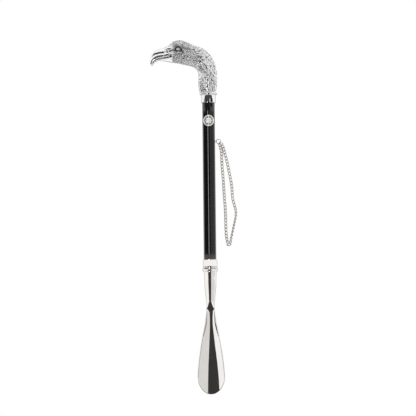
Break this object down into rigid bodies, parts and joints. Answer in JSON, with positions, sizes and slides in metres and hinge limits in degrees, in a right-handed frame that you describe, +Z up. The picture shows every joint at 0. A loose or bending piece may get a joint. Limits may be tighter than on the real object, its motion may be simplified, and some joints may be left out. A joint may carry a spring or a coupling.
{
  "type": "long shoehorn",
  "caption": "Long shoehorn with a cast bird-of-prey head handle, black lacquered shaft, plated concave blade and a wrist chain on a screw eye.",
  "frame": {"origin": "on the shaft's axis, where the handle's neck meets the upper collar: the hand holds the head above it", "axes": "+Z up the shaft towards the handle, -X the way the beak points, -Y the side of the blade's hollow and of the badge"},
  "size_m": [0.125, 0.0296, 0.512],
  "materials": {
    "antiqued_silver": "polished silver plate, darkened in the hollows of the feathers",
    "polished_silver": "mirror-polished silver plate",
    "warm_silver": "mirror-polished nickel-silver plate, slightly warm",
    "badge_silver": "polished relief over a darkened ground",
    "chain_silver": "bright plated wire, slightly warm",
    "black_lacquer": "high-gloss black lacquer over hardwood",
    "brass": "turned, hidden",
    "steel": "zinc-plated thread, hidden"
  },
  "bodies": {
    "body": {"eagle_head": "antiqued_silver", "neck_insert": "brass", "handle_stud": "steel", "upper_bead_ring": "polished_silver", "upper_ferrule": "polished_silver", "shaft": "black_lacquer", "badge_plate": "badge_silver", "badge_pins": "badge_silver", "screw_eye": "chain_silver", "lower_ferrule": "warm_silver", "lower_bead_ring": "warm_silver", "blade": "warm_silver", "blade_stud": "steel"},
    "ring": {"jump_ring": "chain_silver"},
    "chain_1": {"chain_left_1": "chain_silver", "chain_right_1": "chain_silver"},
    "chain_2": {"chain_left_2": "chain_silver", "chain_right_2": "chain_silver"},
    "chain_3": {"chain_left_3": "chain_silver", "chain_right_3": "chain_silver"},
    "chain_4": {"chain_left_4": "chain_silver", "chain_right_4": "chain_silver"},
    "chain_5": {"chain_left_5": "chain_silver", "chain_right_5": "chain_silver"},
    "chain_6": {"chain_left_6": "chain_silver", "chain_right_6": "chain_silver", "chain_bottom_link": "chain_silver"}
  },
  "joints": [
    {"name": "ring_swing", "type": "hinge", "parent": "body", "child": "ring", "pos_m": [0.01065, 0, -0.071], "axis": [0, 0, 1], "range_deg": [-55, 55]},
    {"name": "chain_swing", "type": "hinge", "parent": "ring", "child": "chain_1", "pos_m": [0.01395, 0, -0.071], "axis": [0, -1, 0], "range_deg": [-2, 50]},
    {"name": "chain_fold_1", "type": "hinge", "parent": "chain_1", "child": "chain_2", "pos_m": [0.01844, 0, -0.09595], "axis": [0.912, 0, 0.4101], "range_deg": [-28, 28]},
    {"name": "chain_fold_2", "type": "hinge", "parent": "chain_2", "child": "chain_3", "pos_m": [0.01973, 0, -0.11878], "axis": [0.9488, 0, 0.3158], "range_deg": [-28, 28]},
    {"name": "chain_fold_3", "type": "hinge", "parent": "chain_3", "child": "chain_4", "pos_m": [0.02107, 0, -0.14161], "axis": [0.9607, 0, 0.2777], "range_deg": [-28, 28]},
    {"name": "chain_fold_4", "type": "hinge", "parent": "chain_4", "child": "chain_5", "pos_m": [0.02251, 0, -0.16444], "axis": [0.964, 0, 0.2658], "range_deg": [-28, 28]},
    {"name": "chain_fold_5", "type": "hinge", "parent": "chain_5", "child": "chain_6", "pos_m": [0.02315, 0, -0.1873], "axis": [0.9623, 0, 0.272], "range_deg": [-28, 28]}
  ]
}
